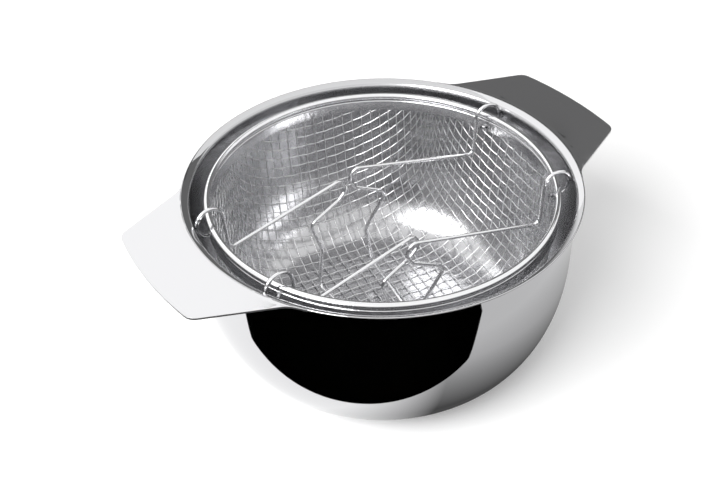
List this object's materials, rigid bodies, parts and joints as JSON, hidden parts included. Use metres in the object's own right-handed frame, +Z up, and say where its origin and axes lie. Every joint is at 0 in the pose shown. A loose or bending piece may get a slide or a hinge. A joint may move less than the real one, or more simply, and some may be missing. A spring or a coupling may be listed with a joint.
{
  "type": "deep fryer pot with frying basket",
  "caption": "Round stainless-steel hob-top frying pot with flat wing handles and a lift-out wire-mesh basket whose wire bails fold down inside it.",
  "frame": {"origin": "on the table under the middle of the pot", "axes": "+Z up out of the pot; X runs through both wing handles, +X towards the bail that is wider and lies outside the other; Y across"},
  "size_m": [0.355, 0.2756, 0.143],
  "materials": {
    "pot_body": "mirror-polished stainless steel",
    "left_handle": "polished stainless-steel sheet",
    "right_handle": "polished stainless-steel sheet",
    "base_core": "plain aluminium, enclosed",
    "base_cap": "satin stainless steel",
    "basket_ring": "bright stainless-steel wire",
    "basket_strip": "bright stainless-steel strip",
    "basket_mesh": "woven stainless-steel wire",
    "left_bail": "bright stainless-steel wire",
    "right_bail": "bright stainless-steel wire"
  },
  "bodies": {
    "pot": {"pot_body": "pot_body", "left_handle": "left_handle", "right_handle": "right_handle", "base_core": "base_core", "base_cap": "base_cap"},
    "basket": {"basket_ring": "basket_ring", "basket_strip": "basket_strip", "basket_mesh": "basket_mesh"},
    "left_bail": {"left_bail": "left_bail"},
    "right_bail": {"right_bail": "right_bail"}
  },
  "joints": [
    {"name": "basket_lift", "type": "slide", "parent": "pot", "child": "basket", "axis": [0, 0, 1], "range_m": [0, 0.16]},
    {"name": "right_bail_raise", "type": "hinge", "parent": "basket", "child": "right_bail", "pos_m": [0.10876, -0.02075, 0.1318], "axis": [0.1874, 0.9823, 0], "range_deg": [0, 75]},
    {"name": "left_bail_raise", "type": "hinge", "parent": "basket", "child": "left_bail", "pos_m": [-0.1134, -0.00594, 0.1318], "axis": [0.0523, -0.9986, 0], "range_deg": [0, 105]}
  ],
  "couplings": [
    {"joint": "left_bail_raise", "follows": "right_bail_raise", "ratio": 1.4}
  ]
}
